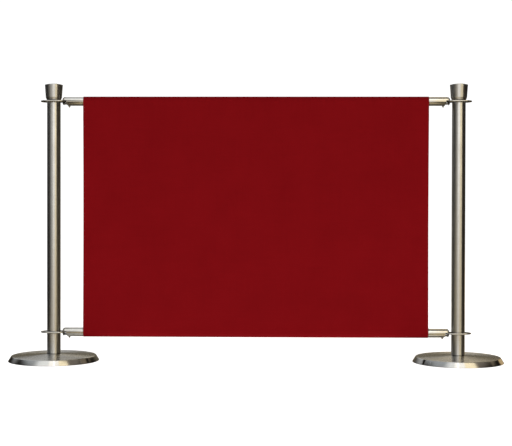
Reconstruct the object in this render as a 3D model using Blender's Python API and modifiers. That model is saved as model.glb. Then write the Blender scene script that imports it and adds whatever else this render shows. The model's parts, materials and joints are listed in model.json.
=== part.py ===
"""Cafe banner barrier: two weighted posts joined by two hook-ended crossbars that stretch a banner.

Metres. The origin is on the floor midway between the posts, +X runs along the crossbars and +Z is up.
A hook end is drawn in its hook frame: the origin is on the post's axis at the crossbar's height, +X
points towards the crossbar's middle and +Z is up.
"""

from math import acos, atan2, cos, degrees, hypot, pi, radians, sin, tan

import bmesh
import bpy
from mathutils import Matrix, Vector

GAP = 0.0003  # left between pieces that touch
MERGE = 0.00001

# Layout
POST_X = 0.728
HEIGHT = 1.000
TOP_BAR_Z = 0.936
BOTTOM_BAR_Z = 0.1045
SIDES = {"left": -1, "right": 1}
LEVELS = {"top": TOP_BAR_Z, "bottom": BOTTOM_BAR_Z}

# Base
BASE_R = 0.1625
BASE_EDGE_R = 0.151
BASE_RIM_Z = 0.001
BASE_EDGE_Z = 0.0200
BASE_TOP_Z = 0.0260
BASE_LANDING_R = 0.030
BASE_EDGE_ROUND = 0.004
COVER_WALL = 0.0012
WEIGHT_BOTTOM_Z = 0.003
FLOOR_RING_R = (0.120, 0.154)

# Base bolt
BOLT_R = 0.005
BOLT_CLEARANCE = 0.0005
BOLT_HEAD_R = 0.0095
BOLT_HEAD_HEIGHT = 0.006
BOLT_TOP_Z = 0.041
WASHER_R = 0.014
WASHER_HEIGHT = 0.002
COUNTERBORE_R = 0.016
COUNTERBORE_Z = 0.0141

# Post
POST_R = 0.02415
POST_WALL = 0.002
POST_BOTTOM_Z = BASE_TOP_Z + GAP
POST_TOP_Z = 0.9402
PLUG_R = POST_R - POST_WALL - GAP
PLUG_HEIGHT = 0.018
STUD_R = 0.004
STUD_Z = (0.924, 0.972)

# Crown cap
CAP_BOTTOM_Z = POST_TOP_Z + GAP
CAP_RIM_R = 0.032
CAP_RIM_Z = 0.9952
CAP_WAIST_R = 0.02875
CAP_WAIST_Z = 0.9495
CAP_SEAT_R = 0.0250
CAP_WALL = 0.0022
CAP_BOSS_R = 0.009
CAP_HOLE_TOP_Z = 0.975

# Wire rings, bent as two half circles joined by straight runs that hug the post
WIRE_R = 0.0025
RING_BEND_R = POST_R + WIRE_R + 0.00035
RING_REACH = 0.0445
HINGE_OFFSET = RING_REACH - RING_BEND_R  # of an end's centre from the post's axis

# Crossbar and hook end; places along the bar are measured from the post's axis
BAR_R = 0.016
BAR_WALL = 0.0016
NOSE = 0.032
NOSE_ROUND = 0.0105
NOTCH_R = (0.020, 0.0335)  # about the ring end's centre
NOTCH_ROOF = WIRE_R + GAP
SHOULDER = 0.115
SPIGOT_END = 0.145
SPIGOT_R = BAR_R - BAR_WALL - GAP
SCREW_PLACE = 0.130
SCREW_R = 0.002
SCREW_HEAD_R = 0.0038
SCREW_TOP = 0.0153
SCREW_TIP = 0.0065

# Latch inside the hook end
LATCH_DROP = 0.0082  # of the bolt's axis below the bar's
BORE_R = 0.0041
LATCH_R = 0.0038
LATCH_TRAVEL = 0.010
LATCH_FRONT = 0.0379
LATCH_REAR = 0.072
LATCH_CHAMFER = 0.0008
TRIGGER_PLACE = 0.0565
TRIGGER_SHANK_R = 0.0021
TRIGGER_HEAD_R = 0.0036
TRIGGER_HEAD_Z = (-0.0163, -0.0168, -0.0182)  # start of its flare, its rim's top and its rim's bottom
TRIGGER_TIP_R = 0.0019
TRIGGER_TIP_Z = (-0.0216, -0.0223)
SLOT_WIDTH = 0.0052
SPRING_R = 0.0029
SPRING_WIRE_R = 0.00045
SPRING_TURNS = 6
SPRING_STEPS = 7  # points in a turn
SPRING_END = 0.0955
STOP_LENGTH = 0.005

# Banner
BANNER_WIDTH = 1.239
BANNER_THICKNESS = 0.001
POCKET_R = BAR_R + GAP
POCKET_DEPTH = 0.045  # from the bar's axis to the weld
WELD = 0.025

ALONG_X = Matrix.Rotation(pi / 2, 4, "Y")
YZ_PLANE = Matrix(((0, 0, 1, 0), (1, 0, 0, 0), (0, 1, 0, 0), (0, 0, 0, 1)))


# ---------------------------------------------------------------- outlines


def arc(centre, radius, start, end, steps):
    """Points from one angle to another, in degrees, both ends included."""
    angles = [radians(start + (end - start) * k / steps) for k in range(steps + 1)]
    return [Vector((centre[0] + radius * cos(a), centre[1] + radius * sin(a))) for a in angles]


def filleted(corners, steps=3):
    """An outline through (x, y) or (x, y, radius) corners, each rounded to its radius."""
    places = [Vector(c[:2]) for c in corners]
    outline = []
    for n, corner in enumerate(corners):
        if len(corner) == 2:
            outline.append(places[n])
            continue
        back = (places[n - 1] - places[n]).normalized()
        ahead = (places[n + 1] - places[n]).normalized()
        half = back.angle(ahead) / 2
        hub = places[n] + (back + ahead).normalized() * (corner[2] / sin(half))
        start = places[n] + back * (corner[2] / tan(half)) - hub
        sweep = -start.angle_signed(places[n] + ahead * (corner[2] / tan(half)) - hub)
        outline += [hub + Matrix.Rotation(sweep * k / steps, 2) @ start for k in range(steps + 1)]
    return outline


# ---------------------------------------------------------------- shapes


def add(obj, matrix, collection="Cafe banner barrier"):
    obj.matrix_world = matrix
    bpy.data.collections[collection].objects.link(obj)
    return obj


def turned(outline, steps=32, matrix=Matrix(), ring=False):
    """An outline of (radius, height) points spun about Z; a ring's outline closes on itself."""
    shape = bmesh.new()
    points = [shape.verts.new((x, 0, z)) for x, z in outline]
    for start, end in zip(points, points[1:]):
        shape.edges.new((start, end))
    if ring:
        shape.edges.new((points[-1], points[0]))
    mesh = bpy.data.meshes.new("turned")
    shape.to_mesh(mesh)
    shape.free()
    obj = add(bpy.data.objects.new("turned", mesh), matrix)
    screw = obj.modifiers.new("Screw", "SCREW")
    screw.steps = screw.render_steps = steps
    screw.use_merge_vertices = True
    screw.merge_threshold = MERGE
    return obj


def cylinder(radius, low, high, steps=24, matrix=Matrix()):
    return turned([(0, high), (radius, high), (radius, low), (0, low)], steps, matrix)


def tube(inner, outer, low, high, steps=32, matrix=Matrix()):
    outline = [(inner, high), (outer, high), (outer, low), (inner, low)]
    return turned(outline, steps, matrix, ring=True)


def wire(points, radius, cyclic=False):
    """A round wire through the given points."""
    curve = bpy.data.curves.new("wire", "CURVE")
    curve.dimensions = "3D"
    curve.bevel_depth = radius
    curve.bevel_resolution = 2
    curve.use_fill_caps = True
    spline = curve.splines.new("POLY")
    spline.points.add(len(points) - 1)
    for point, place in zip(spline.points, points):
        point.co = (*place, 1)
    spline.use_cyclic_u = cyclic
    return add(bpy.data.objects.new("wire", curve), Matrix())


def sheet(outlines, depth, matrix):
    """A flat outline with holes, extruded to both sides of its plane."""
    curve = bpy.data.curves.new("sheet", "CURVE")
    curve.dimensions = "2D"
    curve.fill_mode = "BOTH"
    curve.extrude = depth / 2
    for outline in outlines:
        spline = curve.splines.new("POLY")
        spline.points.add(len(outline) - 1)
        for point, (x, y) in zip(spline.points, outline):
            point.co = (x, y, 0, 1)
        spline.use_cyclic_u = True
    return add(bpy.data.objects.new("sheet", curve), matrix)


def as_cutter(obj, name):
    """Keep a closed shape as a tool for Boolean cuts."""
    for collection in obj.users_collection:
        collection.objects.unlink(obj)
    bpy.data.collections["Cutters"].objects.link(obj)
    obj.name = name
    obj.hide_render = True
    obj.display_type = "WIRE"
    return obj


def cut(obj, *cutters):
    for cutter in cutters:
        boolean = obj.modifiers.new("Cut", "BOOLEAN")
        boolean.operation = "DIFFERENCE"
        boolean.object = cutter
    return obj


def joined(obj, tool):
    boolean = obj.modifiers.new("Join", "BOOLEAN")
    boolean.operation = "UNION"
    boolean.object = as_cutter(tool, "join_tool")
    return obj


def baked(obj):
    """The finished mesh of a shape, in world coordinates; the shape itself is removed."""
    bpy.context.view_layer.update()
    depsgraph = bpy.context.evaluated_depsgraph_get()
    mesh = bpy.data.meshes.new_from_object(obj.evaluated_get(depsgraph))
    mesh.transform(obj.matrix_world)
    welded = bmesh.new()
    welded.from_mesh(mesh)
    bmesh.ops.remove_doubles(welded, verts=welded.verts, dist=MERGE)
    welded.to_mesh(mesh)
    welded.free()
    mesh.shade_smooth()
    mesh.set_sharp_from_angle(angle=radians(35))
    bpy.data.objects.remove(obj)
    return mesh


# ---------------------------------------------------------------- scene


def empty_scene():
    for obj in list(bpy.data.objects):
        bpy.data.objects.remove(obj)
    for name in ("Cafe banner barrier", "Cutters"):
        bpy.context.scene.collection.children.link(bpy.data.collections.new(name))


def principled(name, colour, roughness, metallic=0.0):
    material = bpy.data.materials.new(name)
    material.use_nodes = True
    shader = material.node_tree.nodes["Principled BSDF"]
    shader.inputs["Base Color"].default_value = (*colour, 1)
    shader.inputs["Roughness"].default_value = roughness
    shader.inputs["Metallic"].default_value = metallic
    return material


def make_materials():
    principled("brushed_steel", (0.56, 0.54, 0.49), 0.30, 1.0)
    principled("spun_steel", (0.50, 0.48, 0.42), 0.38, 1.0)
    principled("polished_steel", (0.74, 0.73, 0.70), 0.12, 1.0)
    principled("zinc_plated_steel", (0.60, 0.60, 0.62), 0.35, 1.0)
    principled("cast_iron", (0.08, 0.08, 0.08), 0.75, 0.6)
    principled("rubber", (0.03, 0.03, 0.03), 0.85)
    principled("banner_fabric", (0.178, 0.0037, 0.0056), 0.65)


def pivot(name, place):
    """An empty on a joint's axis, which the moving pieces hang from."""
    return add(bpy.data.objects.new(name, None), Matrix.Translation(place))


def part(name, mesh, material, matrix=Matrix(), parent=None):
    """One named piece of the barrier, attached to its pivot without moving it."""
    obj = add(bpy.data.objects.new(name, mesh), matrix)
    if not mesh.materials:
        mesh.materials.append(bpy.data.materials[material])
    if parent:
        bpy.context.view_layer.update()
        obj.parent = parent
        obj.matrix_parent_inverse = parent.matrix_world.inverted()
    return obj


# ---------------------------------------------------------------- post


def base_outline(inset, hole_r, bottom):
    """Half the section of the base from its centre hole to its rim, moved in from the outer face."""
    slope = (BASE_R - BASE_EDGE_R) / (BASE_EDGE_Z - BASE_RIM_Z)
    side_inset = inset * hypot(1, slope)
    rim_r = BASE_R - slope * (bottom - BASE_RIM_Z) - side_inset
    edge_r = BASE_EDGE_R - side_inset + slope * inset
    return [
        (hole_r, BASE_TOP_Z - inset),
        (BASE_LANDING_R, BASE_TOP_Z - inset),
        (edge_r, BASE_EDGE_Z - inset, BASE_EDGE_ROUND - inset),
        (rim_r, bottom),
    ]


def base_meshes():
    bolt_hole_r = BOLT_R + BOLT_CLEARANCE
    outside = filleted(base_outline(0, bolt_hole_r, BASE_RIM_Z), 2)
    inside = filleted(base_outline(COVER_WALL, bolt_hole_r, BASE_RIM_Z), 2)
    cover = turned(outside + inside[::-1], 40, ring=True)

    top = filleted(base_outline(COVER_WALL + GAP, bolt_hole_r, WEIGHT_BOTTOM_Z), 2)
    counterbore = [
        (COUNTERBORE_R, WEIGHT_BOTTOM_Z),
        (COUNTERBORE_R, COUNTERBORE_Z),
        (bolt_hole_r, COUNTERBORE_Z),
    ]
    weight = turned(top + counterbore, 40, ring=True)
    floor_ring = tube(*FLOOR_RING_R, 0, WEIGHT_BOTTOM_Z - GAP, 40)
    return {
        "base_cover": (baked(cover), "spun_steel"),
        "base_weight": (baked(weight), "cast_iron"),
        "floor_ring": (baked(floor_ring), "rubber"),
    }


def bolt_meshes():
    washer_top = COUNTERBORE_Z - GAP
    head_top = washer_top - WASHER_HEIGHT - GAP
    washer = tube(BOLT_R + BOLT_CLEARANCE, WASHER_R, washer_top - WASHER_HEIGHT, washer_top, 16)
    shank = cylinder(BOLT_R, head_top - BOLT_HEAD_HEIGHT / 2, BOLT_TOP_Z, 12)
    head = cylinder(BOLT_HEAD_R, head_top - BOLT_HEAD_HEIGHT, head_top, 6)
    return {
        "base_washer": (baked(washer), "zinc_plated_steel"),
        "base_bolt": (baked(joined(head, shank)), "zinc_plated_steel"),
    }


def plug_outline(low, high, hole_r, hole_low, hole_high):
    """A round plug with a threaded hole that opens at its lower face."""
    return [(0, high), (PLUG_R, high), (PLUG_R, low), (hole_r, hole_low), (hole_r, hole_high), (0, hole_high)]


def post_meshes():
    post_tube = tube(POST_R - POST_WALL, POST_R, POST_BOTTOM_Z, POST_TOP_Z, 36)
    foot_high = POST_BOTTOM_Z + PLUG_HEIGHT
    foot_plug = turned(
        plug_outline(POST_BOTTOM_Z, foot_high, BOLT_R + GAP, POST_BOTTOM_Z, BOLT_TOP_Z + GAP), 20
    )
    head_plug = tube(STUD_R + GAP, PLUG_R, POST_TOP_Z - PLUG_HEIGHT, POST_TOP_Z, 20)
    return {
        "post_tube": (baked(post_tube), "brushed_steel"),
        "foot_plug": (baked(foot_plug), "zinc_plated_steel"),
        "head_plug": (baked(head_plug), "zinc_plated_steel"),
        "cap_stud": (baked(cylinder(STUD_R, *STUD_Z, 12)), "zinc_plated_steel"),
    }


def cap_mesh():
    """A spun shell with a shallow dome, and a threaded boss under it."""
    rise = HEIGHT - CAP_RIM_Z
    dome_r = (CAP_RIM_R**2 + rise**2) / (2 * rise)
    rim_angle = 90 - degrees(atan2(CAP_RIM_R, dome_r - rise))
    dome = arc((0, HEIGHT - dome_r), dome_r, 90, rim_angle, 4)
    side = filleted(
        [
            dome[-1],
            (CAP_WAIST_R, CAP_WAIST_Z, 0.006),
            (CAP_SEAT_R, CAP_BOTTOM_Z),
        ],
        2,
    )
    inside = [
        (CAP_SEAT_R - CAP_WALL, CAP_BOTTOM_Z),
        (CAP_WAIST_R - CAP_WALL, CAP_WAIST_Z),
        (CAP_RIM_R - CAP_WALL, CAP_RIM_Z - CAP_WALL),
        (CAP_BOSS_R, HEIGHT - 2 * CAP_WALL),
        (CAP_BOSS_R, CAP_BOTTOM_Z),
        (STUD_R + GAP, CAP_BOTTOM_Z),
        (STUD_R + GAP, CAP_HOLE_TOP_Z),
        (0, CAP_HOLE_TOP_Z),
    ]
    return baked(turned(dome + side[1:] + inside, 32))


def ring_mesh(height):
    """Closed wire ring: a half circle each side of the post, joined by straight runs."""
    near = arc((HINGE_OFFSET, 0), RING_BEND_R, -90, 90, 10)
    far = arc((-HINGE_OFFSET, 0), RING_BEND_R, 90, 270, 10)
    return baked(wire([(x, y, height) for x, y in near + far], WIRE_R, cyclic=True))


def build_posts(pivots):
    meshes = {**base_meshes(), **bolt_meshes(), **post_meshes()}
    meshes["crown_cap"] = (cap_mesh(), "brushed_steel")
    for level, height in LEVELS.items():
        meshes[f"{level}_ring"] = (ring_mesh(height), "polished_steel")
    for side, sign in SIDES.items():
        for name, (mesh, material) in meshes.items():
            place = Matrix.Translation((sign * POST_X, 0, 0))
            part(f"{side}_{name}", mesh, material, place, pivots[f"{side}_post"])


# ---------------------------------------------------------------- crossbars


def screw_outline(grow):
    """A countersunk screw standing along +Z from the bar's axis, or the hole that clears it."""
    top = SCREW_TOP + grow * 10
    return [
        (0, top),
        (SCREW_HEAD_R + grow, top),
        (SCREW_HEAD_R + grow, SCREW_TOP),
        (SCREW_R + grow, SCREW_TOP - (SCREW_HEAD_R - SCREW_R)),
        (SCREW_R + grow, SCREW_TIP - grow),
        (0, SCREW_TIP - grow),
    ]


def hook_cutters():
    """The notch round the ring's wire, the bolt's bore, the trigger's slot and the screw's hole."""
    notch = tube(*NOTCH_R, -2 * BAR_R, NOTCH_ROOF, 48, Matrix.Translation((HINGE_OFFSET, 0, 0)))
    bore_start = HINGE_OFFSET + sum(NOTCH_R) / 2
    latch_axis = Matrix.Translation((0, 0, -LATCH_DROP)) @ ALONG_X
    bore = cylinder(BORE_R, bore_start, 2 * SPIGOT_END, 16, latch_axis)
    slot_start = TRIGGER_PLACE - SLOT_WIDTH / 2
    slot_end = TRIGGER_PLACE + LATCH_TRAVEL + SLOT_WIDTH / 2
    bpy.ops.mesh.primitive_cube_add(size=1)
    slot = bpy.context.object
    slot.data.transform(
        Matrix.Translation(((slot_start + slot_end) / 2, 0, -LATCH_DROP - BAR_R / 2))
        @ Matrix.Diagonal((slot_end - slot_start, SLOT_WIDTH, BAR_R, 1))
    )
    bevel = slot.modifiers.new("Bevel", "BEVEL")
    bevel.width = SLOT_WIDTH * 0.45
    bevel.segments = 2
    hole = turned(screw_outline(GAP), 12, Matrix.Translation((SCREW_PLACE, 0, 0)))
    return [
        as_cutter(tool, name)
        for tool, name in ((notch, "notch"), (bore, "bore"), (slot, "slot"), (hole, "screw_hole"))
    ]


def hook_meshes():
    """One hook end and its latch, in the hook frame."""
    outline = [
        (0, SPIGOT_END),
        (SPIGOT_R, SPIGOT_END),
        (SPIGOT_R, SHOULDER),
        (BAR_R, SHOULDER),
        (BAR_R, NOSE, NOSE_ROUND),
        (0, NOSE),
    ]
    hook_end = cut(turned(filleted(outline, 4), 24, ALONG_X), *hook_cutters())

    latch_axis = Matrix.Translation((0, 0, -LATCH_DROP)) @ ALONG_X
    bolt_outline = [
        (0, LATCH_REAR),
        (LATCH_R, LATCH_REAR),
        (LATCH_R, LATCH_FRONT + LATCH_CHAMFER),
        (LATCH_R - LATCH_CHAMFER, LATCH_FRONT),
        (0, LATCH_FRONT),
    ]
    trigger_axis = Matrix.Translation((TRIGGER_PLACE, 0, 0))
    trigger_hole = cylinder(TRIGGER_SHANK_R + GAP, -BAR_R, -LATCH_DROP, 12, trigger_axis)
    bolt = cut(turned(bolt_outline, 16, latch_axis), as_cutter(trigger_hole, "trigger_hole"))

    trigger_outline = [
        (0, -LATCH_DROP - GAP),
        (TRIGGER_SHANK_R, -LATCH_DROP - GAP),
        (TRIGGER_SHANK_R, TRIGGER_HEAD_Z[0]),
        (TRIGGER_HEAD_R, TRIGGER_HEAD_Z[1]),
        (TRIGGER_HEAD_R, TRIGGER_HEAD_Z[2]),
        (TRIGGER_TIP_R, TRIGGER_TIP_Z[0]),
        (0, TRIGGER_TIP_Z[1]),
    ]
    trigger = turned(trigger_outline, 12, trigger_axis)

    start = LATCH_REAR + GAP + SPRING_WIRE_R
    length = SPRING_END - SPRING_WIRE_R - start
    count = SPRING_TURNS * SPRING_STEPS
    coil = [
        (
            start + length * k / count,
            SPRING_R * cos(2 * pi * k / SPRING_STEPS),
            SPRING_R * sin(2 * pi * k / SPRING_STEPS) - LATCH_DROP,
        )
        for k in range(count + 1)
    ]
    stop_start = SPRING_END + GAP
    stop = cylinder(BORE_R - GAP, stop_start, stop_start + STOP_LENGTH, 12, latch_axis)
    screw = turned(screw_outline(0), 12, Matrix.Translation((SCREW_PLACE, 0, 0)))
    return {
        "hook_end": (baked(hook_end), "polished_steel"),
        "latch_bolt": (baked(bolt), "zinc_plated_steel"),
        "latch_trigger": (baked(trigger), "polished_steel"),
        "latch_spring": (baked(wire(coil, SPRING_WIRE_R)), "zinc_plated_steel"),
        "spring_stop": (baked(stop), "zinc_plated_steel"),
        "hook_screw": (baked(screw), "zinc_plated_steel"),
    }


def hook_frame(side, level):
    """The left hook frame points its +X along the row's; the right one is turned round to face it."""
    turn = 0 if side == "left" else pi
    place = Matrix.Translation((SIDES[side] * POST_X, 0, LEVELS[level]))
    return place @ Matrix.Rotation(turn, 4, "Z")


def crossbar_mesh():
    """The tube about the origin, with a hole for each hook end's screw."""
    half = POST_X - SHOULDER - GAP
    bar = tube(BAR_R - BAR_WALL, BAR_R, -half, half, 28, ALONG_X)
    for side, sign in SIDES.items():
        place = Matrix.Translation((sign * (POST_X - SCREW_PLACE), 0, 0))
        cut(bar, as_cutter(turned(screw_outline(GAP), 12, place), f"{side}_bar_hole"))
    return baked(bar)


def build_crossbars(pivots):
    bar = crossbar_mesh()
    meshes = hook_meshes()
    for level, height in LEVELS.items():
        place = Matrix.Translation((0, 0, height))
        part(f"{level}_crossbar", bar, "polished_steel", place, pivots["panel"])
        for side in SIDES:
            frame = hook_frame(side, level)
            latch = pivot(f"{level}_{side}_latch_axis", frame @ Vector((LATCH_FRONT, 0, -LATCH_DROP)))
            for name, (mesh, material) in meshes.items():
                parent = latch if name in ("latch_bolt", "latch_trigger") else pivots["panel"]
                part(f"{level}_{side}_{name}", mesh, material, frame, parent)


# ---------------------------------------------------------------- banner


def pocket_leave_angle():
    """Where the pocket's back layer leaves the bar for the weld, in degrees."""
    to_weld = atan2(-POCKET_DEPTH, -POCKET_R)
    return degrees(to_weld + acos(POCKET_R / hypot(POCKET_R, POCKET_DEPTH)))


def pocket_hole(height, up):
    """The space in a pocket: round the bar, and narrowing to the weld."""
    loop = arc((0, 0), POCKET_R, 180, pocket_leave_angle(), 14)
    loop.append(Vector((-POCKET_R, -POCKET_DEPTH)))
    return [(y, height + up * z) for y, z in loop]


def pocket_outside(height, up):
    """The outer face from the front, over the bar, down the back layer and off the weld's edge."""
    outer_r = POCKET_R + BANNER_THICKNESS
    leave = pocket_leave_angle()
    loop = arc((0, 0), outer_r, 180, leave, 14)
    away = Vector((sin(radians(leave)), -cos(radians(leave))))
    weld_y = -POCKET_R + BANNER_THICKNESS
    loop.append(loop[-1] + away * ((weld_y - loop[-1].x) / away.x))
    loop.append(Vector((weld_y, -POCKET_DEPTH - WELD)))
    loop.append(Vector((-POCKET_R, -POCKET_DEPTH - WELD)))
    return [(y, height + up * z) for y, z in loop]


def build_banner(pivots):
    """One sheet, plain in front, with a pocket for each bar welded behind it."""
    outline = pocket_outside(TOP_BAR_Z, 1) + pocket_outside(BOTTOM_BAR_Z, -1)[::-1]
    holes = [pocket_hole(TOP_BAR_Z, 1), pocket_hole(BOTTOM_BAR_Z, -1)]
    banner = sheet([outline, *holes], BANNER_WIDTH, YZ_PLANE)
    part("banner", baked(banner), "banner_fabric", parent=pivots["panel"])


def main():
    empty_scene()
    make_materials()
    hinge_x = POST_X - HINGE_OFFSET
    pivots = {
        "left_post": pivot("left_post_root", (-POST_X, 0, 0)),
        "panel": pivot("panel_hinge", (-hinge_x, 0, TOP_BAR_Z)),
        "right_post": pivot("right_post_hinge", (hinge_x, 0, TOP_BAR_Z)),
    }
    build_posts(pivots)
    build_crossbars(pivots)
    build_banner(pivots)


main()
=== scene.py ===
import json
from math import acos, atan2, cos, degrees, hypot, pi, radians, sin, tan

import bmesh
import bpy
from mathutils import Euler, Matrix, Vector, noise


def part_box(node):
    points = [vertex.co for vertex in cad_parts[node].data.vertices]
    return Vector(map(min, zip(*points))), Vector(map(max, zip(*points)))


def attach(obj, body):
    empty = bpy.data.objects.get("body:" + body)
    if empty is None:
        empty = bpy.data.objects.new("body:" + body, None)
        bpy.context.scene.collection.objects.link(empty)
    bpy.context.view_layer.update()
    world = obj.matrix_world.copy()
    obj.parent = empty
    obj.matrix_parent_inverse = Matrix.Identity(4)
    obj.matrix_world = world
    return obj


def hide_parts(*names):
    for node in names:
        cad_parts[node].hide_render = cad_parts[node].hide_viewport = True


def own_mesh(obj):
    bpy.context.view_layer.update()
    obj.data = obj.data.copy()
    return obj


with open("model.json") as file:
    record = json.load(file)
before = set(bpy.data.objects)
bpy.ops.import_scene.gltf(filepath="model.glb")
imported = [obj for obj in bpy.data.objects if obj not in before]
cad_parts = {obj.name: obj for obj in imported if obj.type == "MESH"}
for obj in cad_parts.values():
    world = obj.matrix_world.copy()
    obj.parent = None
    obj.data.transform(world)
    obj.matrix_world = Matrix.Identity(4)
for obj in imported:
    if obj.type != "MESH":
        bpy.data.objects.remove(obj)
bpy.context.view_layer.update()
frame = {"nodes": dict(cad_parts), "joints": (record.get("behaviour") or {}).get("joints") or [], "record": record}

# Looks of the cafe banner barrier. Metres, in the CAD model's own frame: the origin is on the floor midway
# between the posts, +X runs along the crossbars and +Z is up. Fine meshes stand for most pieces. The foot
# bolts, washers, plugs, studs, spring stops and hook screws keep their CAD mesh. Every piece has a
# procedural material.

BODY_OF = {node: body for body, nodes in frame["record"]["behaviour"]["bodies"].items() for node in nodes}
JOINTS = {joint["name"]: joint for joint in frame["joints"]}
SIDES = ("left", "right")
LEVELS = ("top", "bottom")


def middle(node):
    low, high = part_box(node)
    return (low + high) / 2


def extent(node):
    low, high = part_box(node)
    return high - low


# Places and sizes read from the CAD model
POST_X = middle("right_post_tube").x
POST_R = extent("right_post_tube").y / 2
POST_Z = [corner.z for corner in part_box("right_post_tube")]
BAR_Z = {level: middle(f"{level}_crossbar").z for level in LEVELS}
BAR_R = extent("top_crossbar").y / 2
BAR_HALF = extent("top_crossbar").x / 2
BASE_R = extent("right_base_cover").x / 2
BASE_RIM_Z, BASE_TOP_Z = [corner.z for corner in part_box("right_base_cover")]
WEIGHT_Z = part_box("right_base_weight")[0].z
FLOOR_RING_HEIGHT = extent("right_floor_ring").z
FLOOR_RING_R = extent("right_floor_ring").x / 2
CAP_R = extent("right_crown_cap").x / 2
CAP_Z = [corner.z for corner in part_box("right_crown_cap")]
WIRE_R = extent("right_top_ring").z / 2
RING_REACH = extent("right_top_ring").x / 2 - WIRE_R
RING_BEND_R = extent("right_top_ring").y / 2 - WIRE_R
RING_END = RING_REACH - RING_BEND_R  # of an end's centre from the post's axis
BANNER_HALF = extent("banner").x / 2

# Sizes inside the CAD pieces, the same as in their source
CLEARANCE = 0.0003
BASE_EDGE_R = 0.151
BASE_EDGE_Z = 0.0200
BASE_EDGE_ROUND = 0.004
BASE_LANDING_R = 0.030
BASE_HOLE_R = 0.0055
COVER_WALL = 0.0012
COUNTERBORE = (0.016, 0.0141)  # radius and roof
FLOOR_RING_INNER_R = 0.120
POST_WALL = 0.002
CAP_RIM_Z = 0.9952
CAP_WAIST = (0.02875, 0.9495)  # radius and height
CAP_SEAT_R = 0.0250
CAP_WALL = 0.0022
CAP_BOSS_R = 0.009
CAP_HOLE = (0.0043, 0.975)  # radius and roof
BAR_WALL = 0.0016

# Hook end and latch, in the hook frame: from the post's axis towards the bar's middle
NOSE = 0.032
NOSE_ROUND = 0.0105
NOTCH_R = (0.020, 0.0335)  # about the ring end's centre
NOTCH_ROOF = WIRE_R + CLEARANCE
SHOULDER = POST_X - BAR_HALF - CLEARANCE
SPIGOT_END = 0.145
SPIGOT_R = BAR_R - BAR_WALL - CLEARANCE
SCREW_PLACE = 0.130
SCREW_R = 0.002
SCREW_HEAD_R = 0.0038
SCREW_TOP = 0.0153
SCREW_TIP = 0.0065
LATCH_DROP = 0.0082  # of the bolt's axis below the bar's
BORE_R = 0.0041
LATCH_R = 0.0038
LATCH_X = (0.0379, 0.072)
LATCH_CHAMFER = 0.0008
TRIGGER_PLACE = 0.0565
TRIGGER_SHANK_R = 0.0021
TRIGGER_HEAD_R = 0.0036
TRIGGER_HEAD_Z = (-0.0163, -0.0168, -0.0182)  # start of its flare, its rim's top and its rim's bottom
TRIGGER_TIP_R = 0.0019
TRIGGER_TIP_Z = (-0.0216, -0.0223)
SLOT_WIDTH = 0.0052
SPRING_R = 0.0029
SPRING_WIRE_R = 0.00045
SPRING_TURNS = 6

# Banner
BANNER_WALL = 0.0009  # 0.1 mm less than in the CAD model
POCKET_R = BAR_R + CLEARANCE + BANNER_WALL / 2
POCKET_DEPTH = 0.045  # from the bar's axis to the weld
WELD = 0.025
BEND_R = 0.006  # where a pocket's back layer meets the front one
WAVE_HEIGHT = 0.0010
BROAD_WAVES = (5.5, 2.3)  # how quickly they change across and up the sheet
FINE_WAVES = (17, 5)
FINE_SHARE = 0.4
PULL_IN = 0.0012  # how far each side is drawn in halfway up

ALONG_X = Matrix.Rotation(pi / 2, 4, "Y")


# ---------------------------------------------------------------- mesh tools


SAME_PLACE = 1e-6  # points nearer than this are one
SHARP_ANGLE = 32  # edges bent more than this stay crisp, in degrees
BEVEL_ANGLE = 50  # after a cut, edges bent more than this are rounded, in degrees


def arc(centre, radius, start, end, steps):
    """Points from one angle to another, in degrees, both ends included."""
    angles = [radians(start + (end - start) * k / steps) for k in range(steps + 1)]
    return [Vector((centre[0] + radius * cos(a), centre[1] + radius * sin(a))) for a in angles]


def rounded(corners, steps=6):
    """An outline through (x, y) or (x, y, radius) corners, each rounded to its radius."""
    places = [Vector(corner[:2]) for corner in corners]
    outline = []
    for n, corner in enumerate(corners):
        if len(corner) == 2:
            outline.append(places[n])
            continue
        back = (places[n - 1] - places[n]).normalized()
        ahead = (places[(n + 1) % len(places)] - places[n]).normalized()
        half = back.angle(ahead) / 2
        hub = places[n] + (back + ahead).normalized() * (corner[2] / sin(half))
        start = places[n] + back * (corner[2] / tan(half)) - hub
        sweep = -start.angle_signed(places[n] + ahead * (corner[2] / tan(half)) - hub)
        outline += [hub + Matrix.Rotation(sweep * k / steps, 2) @ start for k in range(steps + 1)]
    return outline


def shaded(mesh):
    mesh.shade_smooth()
    mesh.set_sharp_from_angle(angle=radians(SHARP_ANGLE))
    return mesh


def turned(outline, steps=144, matrix=Matrix(), ring=False):
    """A mesh spun about Z from (radius, height) points; a ring's outline closes on itself."""
    shape = bmesh.new()
    rows = []
    for radius, height in outline:
        if radius < SAME_PLACE:
            rows.append([shape.verts.new((0, 0, height))] * steps)
            continue
        angles = [2 * pi * k / steps for k in range(steps)]
        rows.append([shape.verts.new((radius * cos(a), radius * sin(a), height)) for a in angles])
    pairs = list(zip(rows, rows[1:]))
    if ring:
        pairs.append((rows[-1], rows[0]))
    for upper, lower in pairs:
        for k in range(steps):
            corners = (upper[k], upper[k - 1], lower[k - 1], lower[k])
            shape.faces.new(list(dict.fromkeys(corners)))
    bmesh.ops.recalc_face_normals(shape, faces=shape.faces)
    mesh = bpy.data.meshes.new("turned")
    shape.to_mesh(mesh)
    shape.free()
    mesh.transform(matrix)
    return shaded(mesh)


def rod(radius, low, high, chamfer, matrix):
    """A round bar along Z with rounded ends, moved by the matrix."""
    outline = [(0, high), (radius, high, chamfer), (radius, low, chamfer), (0, low)]
    return turned(rounded(outline), 48, matrix)


def drill(radius, low, high, steps):
    """A plain cylinder along Z that cuts a round hole."""
    return turned([(0, high), (radius, high), (radius, low), (0, low)], steps)


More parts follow.
